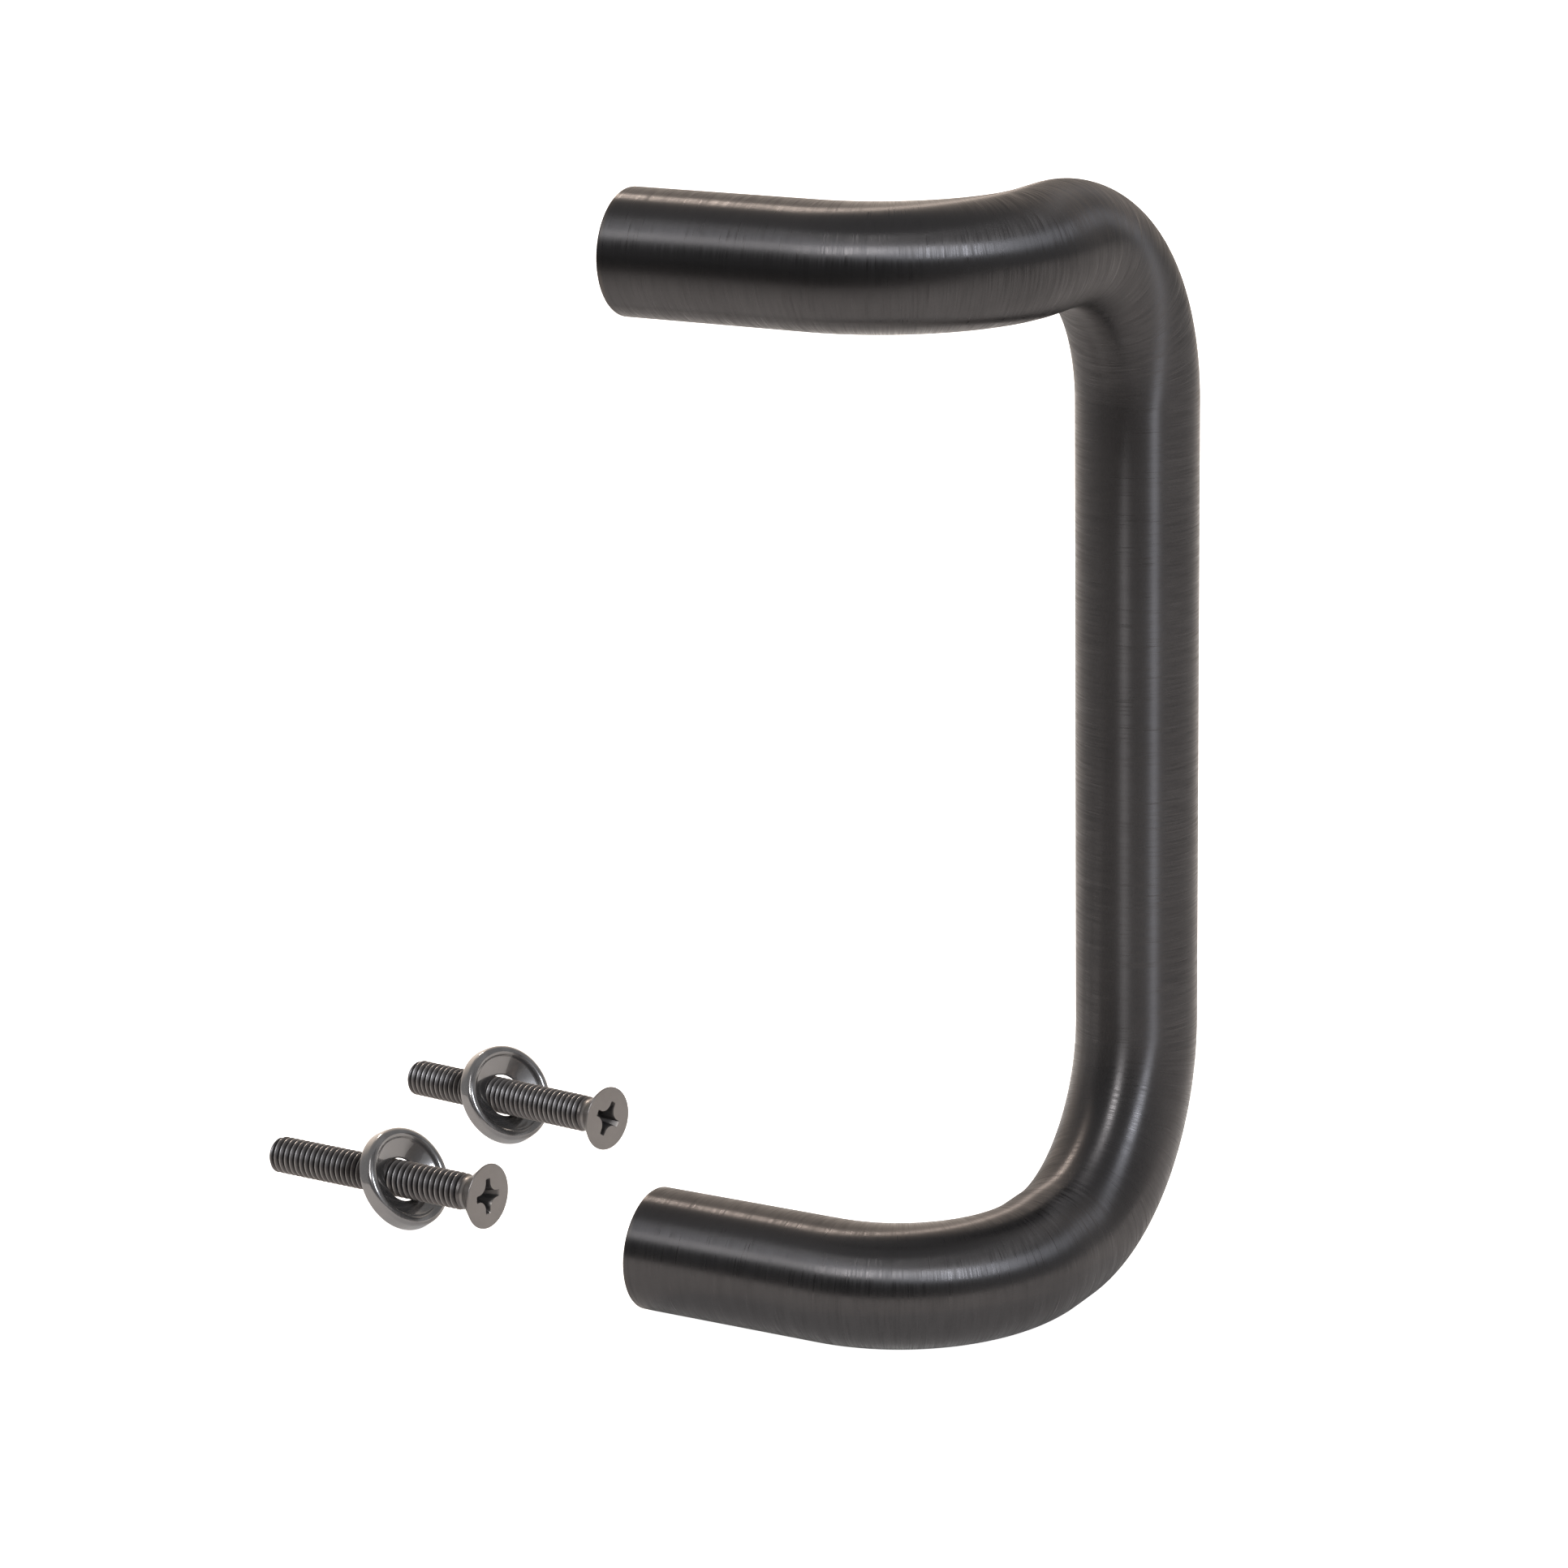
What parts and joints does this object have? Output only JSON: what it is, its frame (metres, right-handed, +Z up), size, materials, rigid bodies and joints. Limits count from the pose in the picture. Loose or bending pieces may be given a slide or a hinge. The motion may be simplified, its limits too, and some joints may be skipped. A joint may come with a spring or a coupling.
{
  "type": "offset door pull",
  "caption": "Round tube door pull with its grip offset to one side of the fixing holes, shown with loose flat-head machine screws and finishing washers for fixing through a door.",
  "frame": {"origin": "on the door's face, midway between the two fixing holes", "axes": "-Y comes out of the door towards the hand, +X is the side to which the grip is offset, +Z is up along the grip"},
  "size_m": [0.101, 0.193, 0.2282],
  "materials": {
    "pull_finish": "dark bronze satin finish, brushed round the tube",
    "plug_steel": "turned steel",
    "screw_finish": "dark bronze plating, satin head",
    "washer_finish": "dark bronze plating, glossy"
  },
  "bodies": {
    "pull": {"grip_tube": "pull_finish", "upper_end_plug": "plug_steel", "lower_end_plug": "plug_steel"},
    "inner_screw": {"inner_screw": "screw_finish"},
    "inner_washer": {"inner_washer": "washer_finish"},
    "outer_screw": {"outer_screw": "screw_finish"},
    "outer_washer": {"outer_washer": "washer_finish"}
  },
  "joints": [
    {"name": "inner_screw_lift", "type": "slide", "parent": "pull", "child": "inner_screw", "axis": [0, 0, 1], "range_m": [0, 0.12]},
    {"name": "outer_screw_lift", "type": "slide", "parent": "pull", "child": "outer_screw", "axis": [0, 0, 1], "range_m": [0, 0.12]},
    {"name": "inner_washer_slide", "type": "slide", "parent": "inner_screw", "child": "inner_washer", "axis": [0.0871, 0.996, -0.0209], "range_m": [-0.0135, 0.042]},
    {"name": "outer_washer_slide", "type": "slide", "parent": "outer_screw", "child": "outer_washer", "axis": [0.1684, 0.9852, -0.0332], "range_m": [-0.021, 0.0345]}
  ]
}
